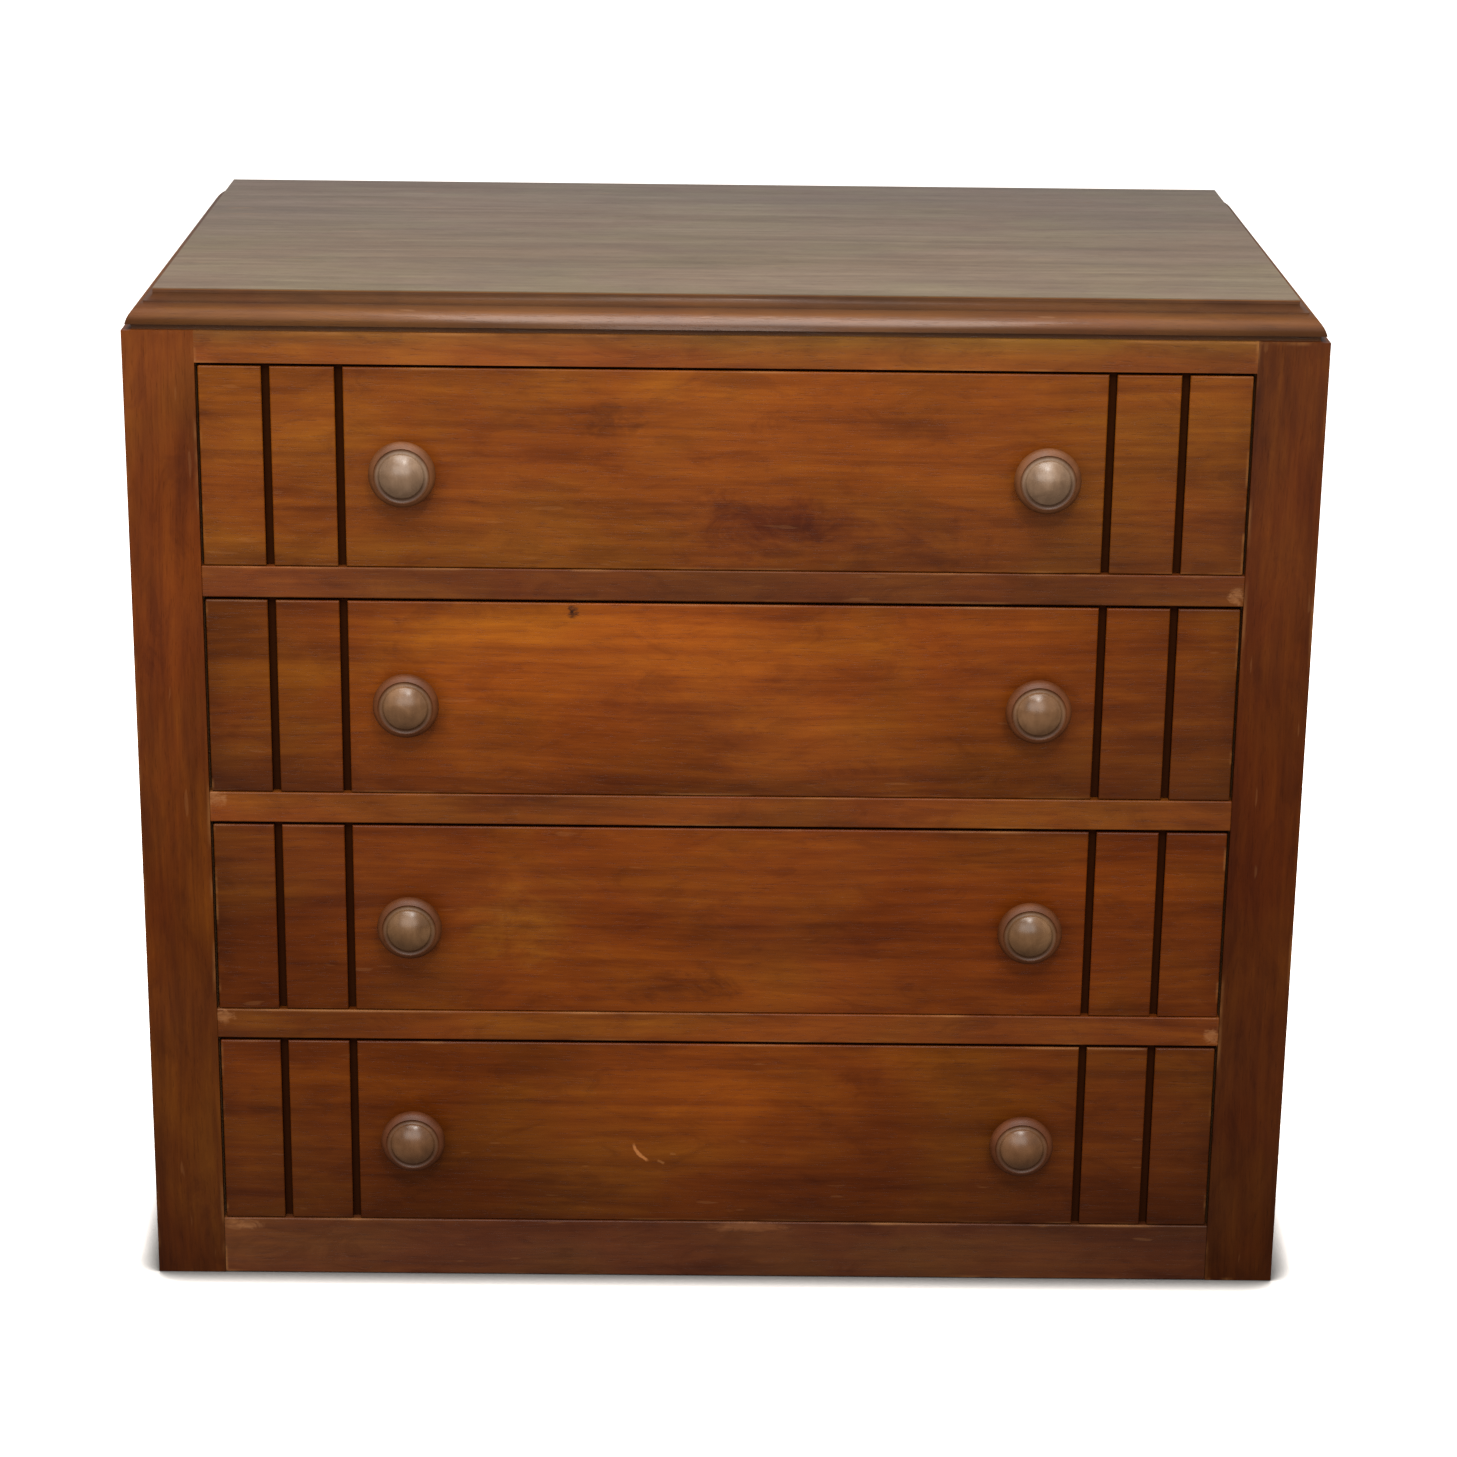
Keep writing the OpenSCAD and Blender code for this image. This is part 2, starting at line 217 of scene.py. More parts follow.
def spot(g, centre, radii, axes, seed=0):
    """Soft ragged oval patch, 1 in its middle, for a knot, a stain or a rubbed place."""
    total = None
    for c, r, i in zip(centre, radii, axes):
        q = g.math("POWER", g.math("ABSOLUTE", g.math("DIVIDE", g.math("SUBTRACT", g.axis(i), c), r)), 2.0)
        total = q if total is None else g.math("ADD", total, q)
    k = 1.3 / max(radii)
    ragged = g.noise(g.vmap((k, k, k * 1.8), (seed, seed * 2, 0)), 1.0, 5, 0.68, 0.9)
    total = g.math("ADD", total, g.math("MULTIPLY", g.math("SUBTRACT", ragged, 0.45), 3.4))
    return g.range(total, -0.2, 1.1, 1.0, 0.0)


def stroke(g, centre, half_len, half_wide, angle, bend, axes, seed=0):
    """A thin bent scratch, 1 along its middle."""
    du = g.math("SUBTRACT", g.axis(axes[0]), centre[0])
    dv = g.math("SUBTRACT", g.axis(axes[1]), centre[1])
    c, s = math.cos(math.radians(angle)), math.sin(math.radians(angle))
    u = g.math("ADD", g.math("MULTIPLY", du, c), g.math("MULTIPLY", dv, s))
    v = g.math("SUBTRACT", g.math("MULTIPLY", dv, c), g.math("MULTIPLY", du, s))
    v = g.math("SUBTRACT", v, g.math("MULTIPLY", g.math("MULTIPLY", u, u), bend))
    ragged = g.noise(g.vmap((700, 700, 700), (seed, 2, 0)), 1.0, 3, 0.6)
    v = g.math("ADD", g.math("ABSOLUTE", v), g.math("MULTIPLY", g.math("SUBTRACT", ragged, 0.5), half_wide * 1.6))
    end = g.range(g.math("ABSOLUTE", u), half_len * 0.6, half_len, 1.0, 0.0)
    return g.math("MULTIPLY", g.range(v, half_wide * 0.35, half_wide, 1.0, 0.0), end)


def varnished(name, axis, seed, tones, box, bare=None, marks=(), grooves=None, wear=1.0, up=None, across=None, back=None, cap=None,
              gloss=0.34, contrast=1.0, worn_tone=srgb(176, 120, 66), edge_mm=1.0, coat=0.09, spec=0.16, grime=0.34,
              wavy=0.5, blotch=1.0, flank=None):
    """Old stained and varnished wood. tones is (dark, middle, light); bare(g) marks unfinished wood.
    up, across and back are stops over the height, the width and the depth of the piece that scale its colour: stain
    depth, and painted shade where the light falls off."""
    g = Graph(name)
    lo, hi = box
    broad, streak, fibre, pore, cloud = grain(g, axis, seed)
    f = g.math("ADD", g.math("MULTIPLY", broad, 0.36), g.math("MULTIPLY", streak, 0.33))
    f = g.math("ADD", f, g.math("MULTIPLY", fibre, 0.11))
    f = g.math("ADD", f, g.math("MULTIPLY", cloud, 0.20))
    f = g.range(f, 0.5 - 0.17 / contrast, 0.5 + 0.17 / contrast, 0.0, 1.0, "LINEAR")
    col = g.ramp(f, [(0.0, tones[0]), (0.5, tones[1]), (1.0, tones[2])])
    if cap is not None:
        # the flat of a top is coloured greyer and duller than its mouldings: partly its own faded, rubbed colour,
        # partly a painted reflection of pale surroundings
        cap_tones, z0, z1, q0, q1 = cap
        # the hollow under the arris and the upper part of the round are painted dark: old polish and dirt, and painted
        # shade of the hollow
        hollow_dirt_and_shade = g.math("MULTIPLY", g.range(g.axis(2), q0, q0 + 2.7 * MM), g.range(g.axis(2), q1 - 0.3 * MM, q1, 1.0, 0.0))
        ragged = g.noise(g.vmap(along(axis, 30, 90), (seed, 8, 2)), 1.0, 4, 0.6)
        col = g.mix(g.math("MULTIPLY", hollow_dirt_and_shade, g.range(ragged, 0.25, 0.6, 0.88, 0.66)), col, srgb(64, 42, 30))
        flat = g.range(g.axis(2), z0, z1)
        shine = g.math("MULTIPLY", g.range(g.axis(2), z1 - 7.7 * MM, z1 - 6.5 * MM), g.range(g.axis(2), q0 + 0.2 * MM, q0 + 1.2 * MM, 1.0, 0.0))
        col = g.mix(flat, col, g.ramp(f, [(0.0, cap_tones[0]), (0.5, cap_tones[1]), (1.0, cap_tones[2])]))
    # the stain lies unevenly: warm golden clouds and redder, deeper ones
    patchy = g.noise(g.vmap(along(axis, 14, 34), (seed * 1.3, seed, 3)), 1.0, 4, 0.6, 0.6)
    hue = g.noise(g.vmap(along(axis, 19, 30), (seed * 0.7, 3, seed)), 1.0, 3, 0.55, 0.5)
    col = g.mix(g.range(patchy, 0.34, 0.58, 0.75 * blotch, 0.0), col, g.mix(1.0, col, (0.74, 0.68, 0.72), "MULTIPLY"))
    col = g.mix(g.range(hue, 0.46, 0.66, 0.0, 0.8 * blotch), col, g.mix(1.0, col, (1.04, 1.20, 1.0), "MULTIPLY"))
    col = g.mix(g.range(hue, 0.36, 0.54, 0.6 * blotch, 0.0), col, g.mix(1.0, col, (1.0, 0.88, 0.9), "MULTIPLY"))
    small = g.noise(g.vmap(along(axis, 42, 120), (seed, seed * 0.4, 1)), 1.0, 5, 0.66, 1.0)
    col = g.mix(g.range(small, 0.36, 0.50, 0.50 * blotch, 0.0), col, g.mix(1.0, col, (0.66, 0.60, 0.62), "MULTIPLY"))
    col = g.mix(g.range(small, 0.52, 0.66, 0.0, 0.55 * blotch), col, g.mix(1.0, col, (1.20, 1.24, 1.2), "MULTIPLY"))
    col = g.mix(g.math("MULTIPLY", pore, 0.30), col, scaled(tones[0], 0.5))
    # the stops scale the colour along each axis; on most pieces they carry painted shade as well as stain depth
    for stops, i in ((up, 2), (across, 0), (back, 1)):
        if stops is not None:
            k = g.range(g.axis(i), lo[i], hi[i], 0.0, 1.0, "LINEAR")
            col = g.mix(1.0, col, g.ramp(k, stops), "MULTIPLY")
    for k, (centre, radii, axes, tint, amount, paint) in enumerate(marks):
        if len(radii) == 4:
            m = stroke(g, centre, *radii, axes, seed + 5.3 * k)
        else:
            m = spot(g, centre, radii, axes, seed + 5.3 * k)
        m = g.math("MULTIPLY", m, amount)
        col = g.mix(m, col, tint if paint else g.mix(1.0, col, tint, "MULTIPLY"))
    if flank is not None:
        # the outer cheek is coloured lighter than the front edge
        cheek = g.range(g.math("ABSOLUTE", g.face_normal()[0]), 0.5, 0.9)
        col = g.mix(cheek, col, g.mix(1.0, col, flank, "MULTIPLY"))
    # arrises rubbed pale in places, and grime beside them
    e = g.edge_distance(lo, hi)
    rub = g.noise(g.vmap(along(axis, 22, 80), (seed, 4, 9)), 1.0, 4, 0.62)
    worn = g.math("MULTIPLY", g.range(e, 0.1 * MM, edge_mm * MM, 1.0, 0.0), g.range(rub, 0.50, 0.68))
    dirt = g.math("MULTIPLY", g.range(e, 0.6 * MM, 7.0 * MM, 1.0, 0.0), g.range(patchy, 0.3, 0.7, grime * 1.3, grime * 0.6))
    col = g.mix(dirt, col, g.mix(1.0, col, (0.50, 0.44, 0.42), "MULTIPLY"))
    col = g.mix(g.math("MULTIPLY", worn, 0.42 * wear), col, worn_tone)
    # bruises and short scratches in the varnish, few and faint
    sc = g.noise(g.vmap(along(axis, 60, 420), (seed, 0, 3), (0.12, 0.2, 0.25)), 1.0, 2, 0.4)
    scratch = g.range(sc, 0.725, 0.76)
    col = g.mix(g.math("MULTIPLY", scratch, 0.10 * wear), col, worn_tone)
    rough = g.math("ADD", g.range(cloud, 0.3, 0.7, gloss - 0.05, gloss + 0.08), g.math("MULTIPLY", fibre, 0.10))
    rough = g.math("ADD", rough, g.math("MULTIPLY", g.math("MAXIMUM", scratch, worn), 0.14))
    sheen_off = None
    if cap is not None:
        rough = g.math("ADD", rough, g.math("MULTIPLY", g.math("SUBTRACT", 1.0, shine), 0.15))
        sheen_off = g.math("ADD", g.math("ADD", g.math("MULTIPLY", shine, 0.70), 0.30), g.math("MULTIPLY", flat, 0.08))
    if grooves is not None:
        a, b = grooves
        dark = g.math("MULTIPLY", g.range(g.axis(1), a, a + 0.5 * MM), g.range(g.axis(1), b, b + 0.3 * MM, 1.0, 0.0))
        col = g.mix(g.math("MULTIPLY", dark, 0.96), col, srgb(40, 18, 7))
        rough = g.math("ADD", rough, g.math("MULTIPLY", dark, 0.4))
        sheen_off = g.math("SUBTRACT", 1.0, dark)
    coat_w, spec_w = coat, spec
    if sheen_off is not None:
        coat_w, spec_w = g.math("MULTIPLY", sheen_off, coat), g.math("MULTIPLY", sheen_off, spec)
    if bare is not None:
        m = bare(g)
        bcol = g.ramp(f, [(0.0, BARE_DARK), (1.0, BARE_LIGHT)])
        bcol = g.mix(g.math("MULTIPLY", pore, 0.35), bcol, scaled(BARE_DARK, 0.5))
        col = g.mix(m, col, bcol)
        rough = g.math("ADD", g.math("MULTIPLY", rough, g.math("SUBTRACT", 1.0, m)), g.math("MULTIPLY", m, 0.68))
        coat_w = g.math("MULTIPLY", g.math("SUBTRACT", 1.0, m), coat_w)
    height = g.math("SUBTRACT", g.math("MULTIPLY", fibre, 0.5), g.math("MULTIPLY", pore, 0.9))
    height = g.math("SUBTRACT", height, g.math("MULTIPLY", scratch, 0.5))
    height = g.math("ADD", height, g.math("MULTIPLY", streak, 0.5))
    n1 = g.bump(height, 0.05 * MM, 0.5)
    wave = g.noise(g.vmap(along(axis, 38, 110), (seed, 1, 2)), 1.0, 3, 0.5)
    n2 = g.bump(wave, 0.16 * MM, wavy, n1)
    return g.surface(col, rough, n2, spec_w, coat=coat_w, coat_rough=0.18, coat_normal=n2)


def bare_wood(name, axis, seed, dark=BARE_DARK, light=BARE_LIGHT, box=None):
    g = Graph(name)
    broad, streak, fibre, pore, cloud = grain(g, axis, seed)
    f = g.math("ADD", g.math("MULTIPLY", broad, 0.45), g.math("MULTIPLY", streak, 0.3))
    f = g.math("ADD", f, g.math("MULTIPLY", g.math("ADD", fibre, cloud), 0.125))
    col = g.ramp(g.range(f, 0.33, 0.67, kind="LINEAR"), [(0.0, dark), (1.0, light)])
    col = g.mix(g.math("MULTIPLY", pore, 0.4), col, scaled(dark, 0.5))
    age = g.noise(g.vmap((9, 9, 9), (seed, 2, 5)), 1.0, 4, 0.6)
    col = g.mix(g.range(age, 0.4, 0.75, 0.0, 0.5), col, scaled(dark, 0.7))
    if box is not None:
        e = g.edge_distance(*box)
        col = g.mix(g.range(e, 0.2 * MM, 2.5 * MM, 0.35, 0.0), col, scaled(dark, 0.6))
    height = g.math("SUBTRACT", g.math("ADD", fibre, streak), pore)
    return g.surface(col, g.range(fibre, 0.3, 0.7, 0.60, 0.78), g.bump(height, 0.08 * MM, 0.6), 0.3)


def metal(name, seed, tone=srgb(150, 148, 142), rust=0.4):
    g = Graph(name)
    n = g.noise(g.vmap((600,) * 3, (seed, 0, 0)), 1.0, 4, 0.6)
    r = g.noise(g.vmap((260,) * 3, (seed, 3, 0)), 1.0, 4, 0.6)
    m = g.math("MULTIPLY", g.range(r, 0.45, 0.65), rust)
    col = g.mix(m, g.ramp(n, [(0.3, scaled(tone, 0.8)), (0.7, tone)]), srgb(96, 56, 34))
    met = g.math("SUBTRACT", 1.0, m)
    return g.surface(col, g.range(n, 0.3, 0.7, 0.28, 0.5), g.bump(n, 0.02 * MM, 0.6), 0.5, met)


def dress(o, mat):
    o.data.materials.clear()
    o.data.materials.append(mat)
    for p in o.data.polygons:
        p.material_index = 0


def ease(o, width=0.35, segments=2):
    """Takes the knife edge off a sawn or planed piece."""
    w = o.modifiers.new("weld", "WELD")
    w.merge_threshold = 0.00001
    b = o.modifiers.new("ease", "BEVEL")
    b.width, b.segments, b.limit_method, b.angle_limit = width * MM, segments, "ANGLE", math.radians(35)
    b.harden_normals = False
    b.use_clamp_overlap = True
    return o


# ---------------------------------------------------------------- places, from the CAD frame
def B(n):
    lo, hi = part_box(n)
    return tuple(lo), tuple(hi)


front_y = B("side_left")[0][1]
case_top = B("side_left")[1][2]

RED_DARK, RED_MID, RED_LIGHT = srgb(92, 40, 6), srgb(131, 65, 9), srgb(158, 86, 15)


def tones(k, warm=1.0, dull=0.0):
    """The stain's three tones, k times as light; warm scales green and blue, dull adds grey."""
    return tuple((min(1, c[0] * k + dull), min(1, c[1] * k * warm + dull), min(1, c[2] * k * warm + dull))
                 for c in (RED_DARK, RED_MID, RED_LIGHT))


def blocks(name, cells, xs, ys, zs, arris, width=0.35, segments=2, mat=None):
    """A piece sawn on straight planes. cells(i, j, k) says whether a block of the grid is timber; only its skin is kept.
    arris(a, b) picks the edges that are eased."""
    bm = bmesh.new()
    verts = {}

    def V(i, j, k):
        if (i, j, k) not in verts:
            verts[i, j, k] = bm.verts.new((xs[i], ys[j], zs[k]))
        return verts[i, j, k]

    nx, ny, nz = len(xs) - 1, len(ys) - 1, len(zs) - 1
    full = lambda i, j, k: 0 <= i < nx and 0 <= j < ny and 0 <= k < nz and cells(i, j, k)
    for i in range(nx):
        for j in range(ny):
            for k in range(nz):
                if not full(i, j, k):
                    continue
                if not full(i - 1, j, k):
                    bm.faces.new((V(i, j, k), V(i, j, k + 1), V(i, j + 1, k + 1), V(i, j + 1, k)))
                if not full(i + 1, j, k):
                    bm.faces.new((V(i + 1, j, k), V(i + 1, j + 1, k), V(i + 1, j + 1, k + 1), V(i + 1, j, k + 1)))
                if not full(i, j - 1, k):
                    bm.faces.new((V(i, j, k), V(i + 1, j, k), V(i + 1, j, k + 1), V(i, j, k + 1)))
                if not full(i, j + 1, k):
                    bm.faces.new((V(i, j + 1, k), V(i, j + 1, k + 1), V(i + 1, j + 1, k + 1), V(i + 1, j + 1, k)))
                if not full(i, j, k - 1):
                    bm.faces.new((V(i, j, k), V(i, j + 1, k), V(i + 1, j + 1, k), V(i + 1, j, k)))
                if not full(i, j, k + 1):
                    bm.faces.new((V(i, j, k + 1), V(i + 1, j, k + 1), V(i + 1, j + 1, k + 1), V(i, j + 1, k + 1)))
    bm.normal_update()
    chosen = []
    for e in bm.edges:
        if len(e.link_faces) == 2 and e.calc_face_angle(0) > 1.0 and e.is_convex and arris(e.verts[0].co, e.verts[1].co):
            chosen.append(e)
    bmesh.ops.bevel(bm, geom=chosen, offset=width * MM, segments=segments, profile=0.5, affect="EDGES", clamp_overlap=True)
    bmesh.ops.recalc_face_normals(bm, faces=bm.faces)
    me = bpy.data.meshes.new(name)
    bm.to_mesh(me)
    bm.free()
    o = bpy.data.objects.new(name, me)
    bpy.context.scene.collection.objects.link(o)
    me.materials.append(mat)
    return o


def breaks(values):
    out = []
    for v in sorted(values):
        if not out or v - out[-1] > 1e-6:
            out.append(v)
    return out


def panel(name, lo, hi, mat):
    """A drawer front: grooves from edge to edge, rebated ends for the drawer sides, a groove behind for the bottom."""
    half = hi[0]
    inner = half - 8.0 * MM
    y0, y1 = lo[1], hi[1]
    g_half, g_deep, lap = 1.125 * MM, 2.4 * MM, 5.0 * MM
    gx = [s * v * MM for s in (-1, 1) for v in (126.06, 106.06)]
    kx, kh, kz = 88.5 * MM, 1.6 * MM, (lo[2] + hi[2]) / 2
    b0, b1 = lo[2] + 4.5 * MM, lo[2] + 8.0 * MM
    xs = breaks([-half, half, -inner, inner] + [c + s * g_half for c in gx for s in (-1, 1)] +
                [c + s * kh for c in (-kx, kx) for s in (-1, 1)])
    ys = breaks([y0, y0 + g_deep, y0 + lap, y1 - 3.0 * MM, y1])
    zs = breaks([lo[2], hi[2], b0, b1, kz - kh, kz + kh])

    def cells(i, j, k):
        x, y, z = (xs[i] + xs[i + 1]) / 2, (ys[j] + ys[j + 1]) / 2, (zs[k] + zs[k + 1]) / 2
        if y < y0 + g_deep and any(abs(x - c) < g_half for c in gx):
            return False
        if abs(x) > inner and y > y0 + lap:
            return False
        if any(abs(x - c) < kh for c in (-kx, kx)) and abs(z - kz) < kh:
            return False
        return not (y > y1 - 3.0 * MM and b0 < z < b1 and abs(x) < inner)

    def arris(a, b):
        near_hole = abs(abs((a.x + b.x) / 2) - kx) < kh * 1.2 and abs((a.z + b.z) / 2 - kz) < kh * 1.2
        flat_front = a.y < y0 + 1e-6 and b.y < y0 + 1e-6
        end = abs(a.x) > half - 1e-6 and abs(b.x) > half - 1e-6
        top = a.z > hi[2] - 1e-6 and b.z > hi[2] - 1e-6 and a.y > y1 - 1e-6 and b.y > y1 - 1e-6
        return not near_hole and (flat_front or top or (end and max(a.y, b.y) < y0 + lap + 1e-6))

    return blocks(name, cells, xs, ys, zs, arris, 0.4, 3, mat)


# side boards: grain upright, bare inside
for side, s in (("side_left", -1), ("side_right", 1)):
    lo, hi = B(side)

    def bare_inside(g, s=s):
        deep = g.range(g.axis(1), front_y + 1.5 * MM, front_y + 3.5 * MM)
        facing = g.range(g.math("MULTIPLY", g.face_normal()[0], -float(s)), 0.5, 0.9)
        return g.math("MULTIPLY", deep, facing)

    # painted shade: the right side board is darker than the left, and up darkens both towards the bottom and turns them
    # greyer at the top
    t = tones(0.76 if s < 0 else 0.47, 0.90 if s < 0 else 0.80)
    dress(NODES[side], varnished(side + "_wood", 2, 11 + s, t, (lo, hi), bare=bare_inside, wear=0.8, grime=0.25,
                                 up=[(0.0, (0.44, 0.50, 0.80)), (0.35, (0.66, 0.66, 0.66)), (0.75, (0.86, 0.86, 0.9)), (1.0, (0.90, 1.0, 1.5))],
                                 edge_mm=1.2, flank=(1.1, 1.1, 1.1) if s < 0 else (1.65, 1.75, 1.7)))
    ease(NODES[side], 0.6, 3)

# rails
# each rail's tone and across stops, which darken some rails and their ends: partly uneven stain, partly painted shade
# where the light falls off
for n, k, warm, dull, seed, across in (
        ("top_front_rail", 0.88, 0.95, 0.004, 21, [(0.0, 1.08), (0.5, 0.96), (1.0, 0.88)]),
        ("divider_1", 0.58, 0.94, 0.004, 22, [(0.0, 1.25), (0.35, 1.0), (0.5, 0.85), (1.0, 0.9)]),
        ("divider_2", 0.97, 1.0, 0.004, 23, [(0.0, 1.0), (0.7, 0.88), (1.0, 0.6)]),
        ("divider_3", 0.76, 0.96, 0.003, 24, [(0.0, 0.66), (0.3, 1.0), (0.7, 1.0), (1.0, 0.76)]),
        ("bottom_rail", 0.40, 0.96, 0.009, 25, [(0.0, 1.3), (0.2, 1.0), (0.75, 0.9), (1.0, 0.66)])):
    lo, hi = B(n)

    def bare_behind(g):
        return g.range(g.axis(1), front_y + 4 * MM, front_y + 8 * MM)

    face = ((lo[0] + 6 * MM, lo[1], lo[2]), (hi[0] - 6 * MM, hi[1], hi[2]))
    marks = []
    end = hi[0] - 6 * MM
    pale = srgb(176, 122, 78)
    if n in ("divider_2", "divider_3"):
        marks.append(((-end + 2 * MM, hi[2] - 2 * MM), (4 * MM, 3.0 * MM), (0, 2), pale, 0.45, True))
    if n in ("divider_1", "divider_3"):
        marks.append(((end - 2 * MM, lo[2] + 3 * MM), (3 * MM, 3.0 * MM), (0, 2), pale, 0.45, True))
    if n == "bottom_rail":
        marks.append(((-end + 5 * MM, hi[2] - 2 * MM), (7 * MM, 2.2 * MM), (0, 2), pale, 0.45, True))
        marks.append(((8 * MM, hi[2] - 1.5 * MM), (16 * MM, 1.8 * MM), (0, 2), srgb(150, 96, 60), 0.4, True))
    # painted highlight: the rail turns paler and greyer towards its upper edge, where the arris under the moulding
    # catches the light
    edge = [(0.0, 1.0), (0.45, (1.0, 1.08, 1.15)), (1.0, (1.0, 1.5, 1.9))] if n == "top_front_rail" else None
    dress(NODES[n], varnished(n + "_wood", 0, seed, tones(k, warm, dull), face, bare=bare_behind, wear=0.9, edge_mm=1.0,
                              grime=0.2, across=across, up=edge, marks=marks))
    if n != "top_front_rail":
        ease(NODES[n], 0.35, 2)

# top board
lo, hi = B("top_board")
# painted reflection: the flat's grey tones hold a reflection of pale surroundings as well as the faded wood's own
# colour
FLAT_FADE_AND_SHEEN_TONES = (srgb(86, 69, 53), srgb(111, 93, 74), srgb(136, 118, 98))
# the moulding's tones are greyed, partly as painted sheen on the rounded band; up paints shade on the foot, the quirk
# and the lower part of the round; back turns the flat darker and greyer towards the back
dress(NODES["top_board"], varnished("top_wood", 0, 31, tones(0.66, 1.26, 0.010), (lo, hi), wear=1.0, gloss=0.24, coat=0.6, spec=0.5,
                                    contrast=0.80, grime=0.16, wavy=0.9, worn_tone=srgb(196, 156, 122), blotch=0.5,
                                    cap=(FLAT_FADE_AND_SHEEN_TONES, hi[2] - 0.4 * MM, hi[2] - 0.1 * MM, hi[2] - 5.7 * MM, hi[2] - 0.35 * MM),
                                    up=[(0.0, 0.5), (0.15, 0.42), (0.27, 0.58), (0.38, 1.0), (0.44, 1.05), (0.6, 1.0), (1.0, 1.0)],
                                    back=[(0.0, 1.05), (0.3, 1.0), (1.0, (0.76, 0.80, 0.98))]))
w = NODES["top_board"].modifiers.new("weld", "WELD"); w.merge_threshold = 0.00001

# drawers
# per drawer: tone, across stops and up stops; lower drawers, the ends and the bottom of each front are darker, partly
# uneven stain and partly painted shade where the light falls off
DRAWER_SHADE_AND_STAIN = {
    1: (0.96, [(0.0, 0.92), (0.1, 0.93), (0.35, 1.0), (0.6, 0.98), (0.85, 0.76), (1.0, 0.72)],
        [(0.0, (0.76, 0.80, 1.3)), (0.5, 0.98), (1.0, (1.10, 1.14, 1.0))]),
    2: (1.02, [(0.0, 0.56), (0.1, 0.72), (0.25, 1.02), (0.6, 1.0), (0.8, 0.82), (1.0, 0.48)],
        [(0.0, (0.66, 0.68, 0.9)), (0.5, 0.94), (1.0, (1.12, 1.12, 0.9))]),
    3: (0.72, [(0.0, 0.62), (0.12, 0.76), (0.3, 1.02), (0.6, 1.0), (0.85, 1.0), (1.0, 0.78)],
        [(0.0, 0.92), (0.5, 0.98), (1.0, 1.04)]),
    4: (0.66, [(0.0, 0.84), (0.12, 0.74), (0.3, 0.84), (0.5, 1.1), (0.75, 0.82), (1.0, 0.56)],
        [(0.0, (0.56, 0.56, 0.8)), (0.5, 0.92), (1.0, (1.20, 1.22, 1.0))]),
}
for d in range(1, 5):
    n = f"drawer_{d}_front"
    lo, hi = B(n)
    z0 = lo[2]
    k, across, up = DRAWER_SHADE_AND_STAIN[d]
    warm = (1.02, 0.96, 0.90, 0.93)[d - 1]
    marks = {
        1: [((12 * MM, z0 + 13.4 * MM), (25 * MM, 12 * MM), (0, 2), (0.46, 0.33, 0.46), 0.85, False),
            ((49 * MM, z0 + 8.5 * MM), (30 * MM, 11 * MM), (0, 2), (0.56, 0.46, 0.56), 0.8, False),
            ((20 * MM, z0 + 12 * MM), (34 * MM, 11 * MM), (0, 2), (0.76, 0.62, 0.9), 0.8, False),
            ((-32 * MM, z0 + 42 * MM), (11 * MM, 7 * MM), (0, 2), (0.55, 0.52, 0.7), 0.8, False)],
        2: [((-42 * MM, z0 + 54 * MM), (2.2 * MM, 2.4 * MM), (0, 2), srgb(40, 16, 6), 0.95, True),
            ((-20 * MM, z0 + 20 * MM), (44 * MM, 11 * MM), (0, 2), (0.74, 0.66, 0.9), 0.7, False)],
        3: [((-58 * MM, z0 + 27 * MM), (19 * MM, 15 * MM), (0, 2), (1.30, 1.75, 2.2), 0.8, False),
            ((-13 * MM, z0 + 8 * MM), (21 * MM, 7 * MM), (0, 2), (0.45, 0.40, 0.6), 0.85, False)],
        4: [((-23 * MM, z0 + 21.5 * MM), (3.9 * MM, 0.62 * MM, -50, 60), (0, 2), srgb(176, 112, 62), 0.8, True),
            ((-16.5 * MM, z0 + 19 * MM), (1.3 * MM, 0.5 * MM, -30, 0), (0, 2), srgb(140, 88, 44), 0.6, True),
            ((-13 * MM, z0 + 21.5 * MM), (1.0 * MM, 0.45 * MM, -10, 0), (0, 2), srgb(140, 88, 44), 0.5, True),
            ((10 * MM, z0 + 40 * MM), (34 * MM, 9 * MM), (0, 2), (1.2, 1.24, 1.0), 0.6, False)],
    }[d]

    def bare_front(g, lo=lo, hi=hi):
        return g.range(g.axis(1), lo[1] + 4.6 * MM, lo[1] + 7 * MM)

    mat = varnished(n + "_wood", 0, 40 + d * 3.3, tones(k, warm), (lo, hi), bare=bare_front, marks=marks, across=across, up=up,
                    grooves=(lo[1] + 0.25 * MM, lo[1] + 2.45 * MM), wear=0.8, grime=0.30)
    o = panel(f"drawer_{d}_panel", lo, hi, mat)
    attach(o, f"drawer_{d}")
    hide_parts(n)
    for part, ax in (("side_left", 1), ("side_right", 1), ("back", 0)):
        p = f"drawer_{d}_{part}"
        dress(NODES[p], bare_wood(p + "_wood", ax, d * 5.1 + ax, box=B(p)))
        ease(NODES[p], 0.4, 2)
    p = f"drawer_{d}_bottom"
    dress(NODES[p], bare_wood(p + "_ply", 0, d * 7.7, srgb(128, 100, 66), srgb(196, 164, 122), box=B(p)))

for n, ax in [("bottom_panel", 0), ("back_panel", 2), ("top_back_rail", 0), ("drawer_stops", 0), ("glue_blocks", 0),
              ("kicker_left", 1), ("kicker_right", 1)] + [(f"runner_{i}_{s}", 1) for i in (1, 2, 3) for s in ("left", "right")]:
    dress(NODES[n], bare_wood(n + "_wood", ax, len(n) * 1.3 + ax, box=B(n)))
    if n not in ("back_panel", "top_back_rail"):
        ease(NODES[n], 0.3, 2)

steel = metal("screw_steel", 2.0)
for n in ("top_screws", "back_panel_pins") + tuple(f"drawer_{d}_knob_screws" for d in range(1, 5)):
    dress(NODES[n], steel)
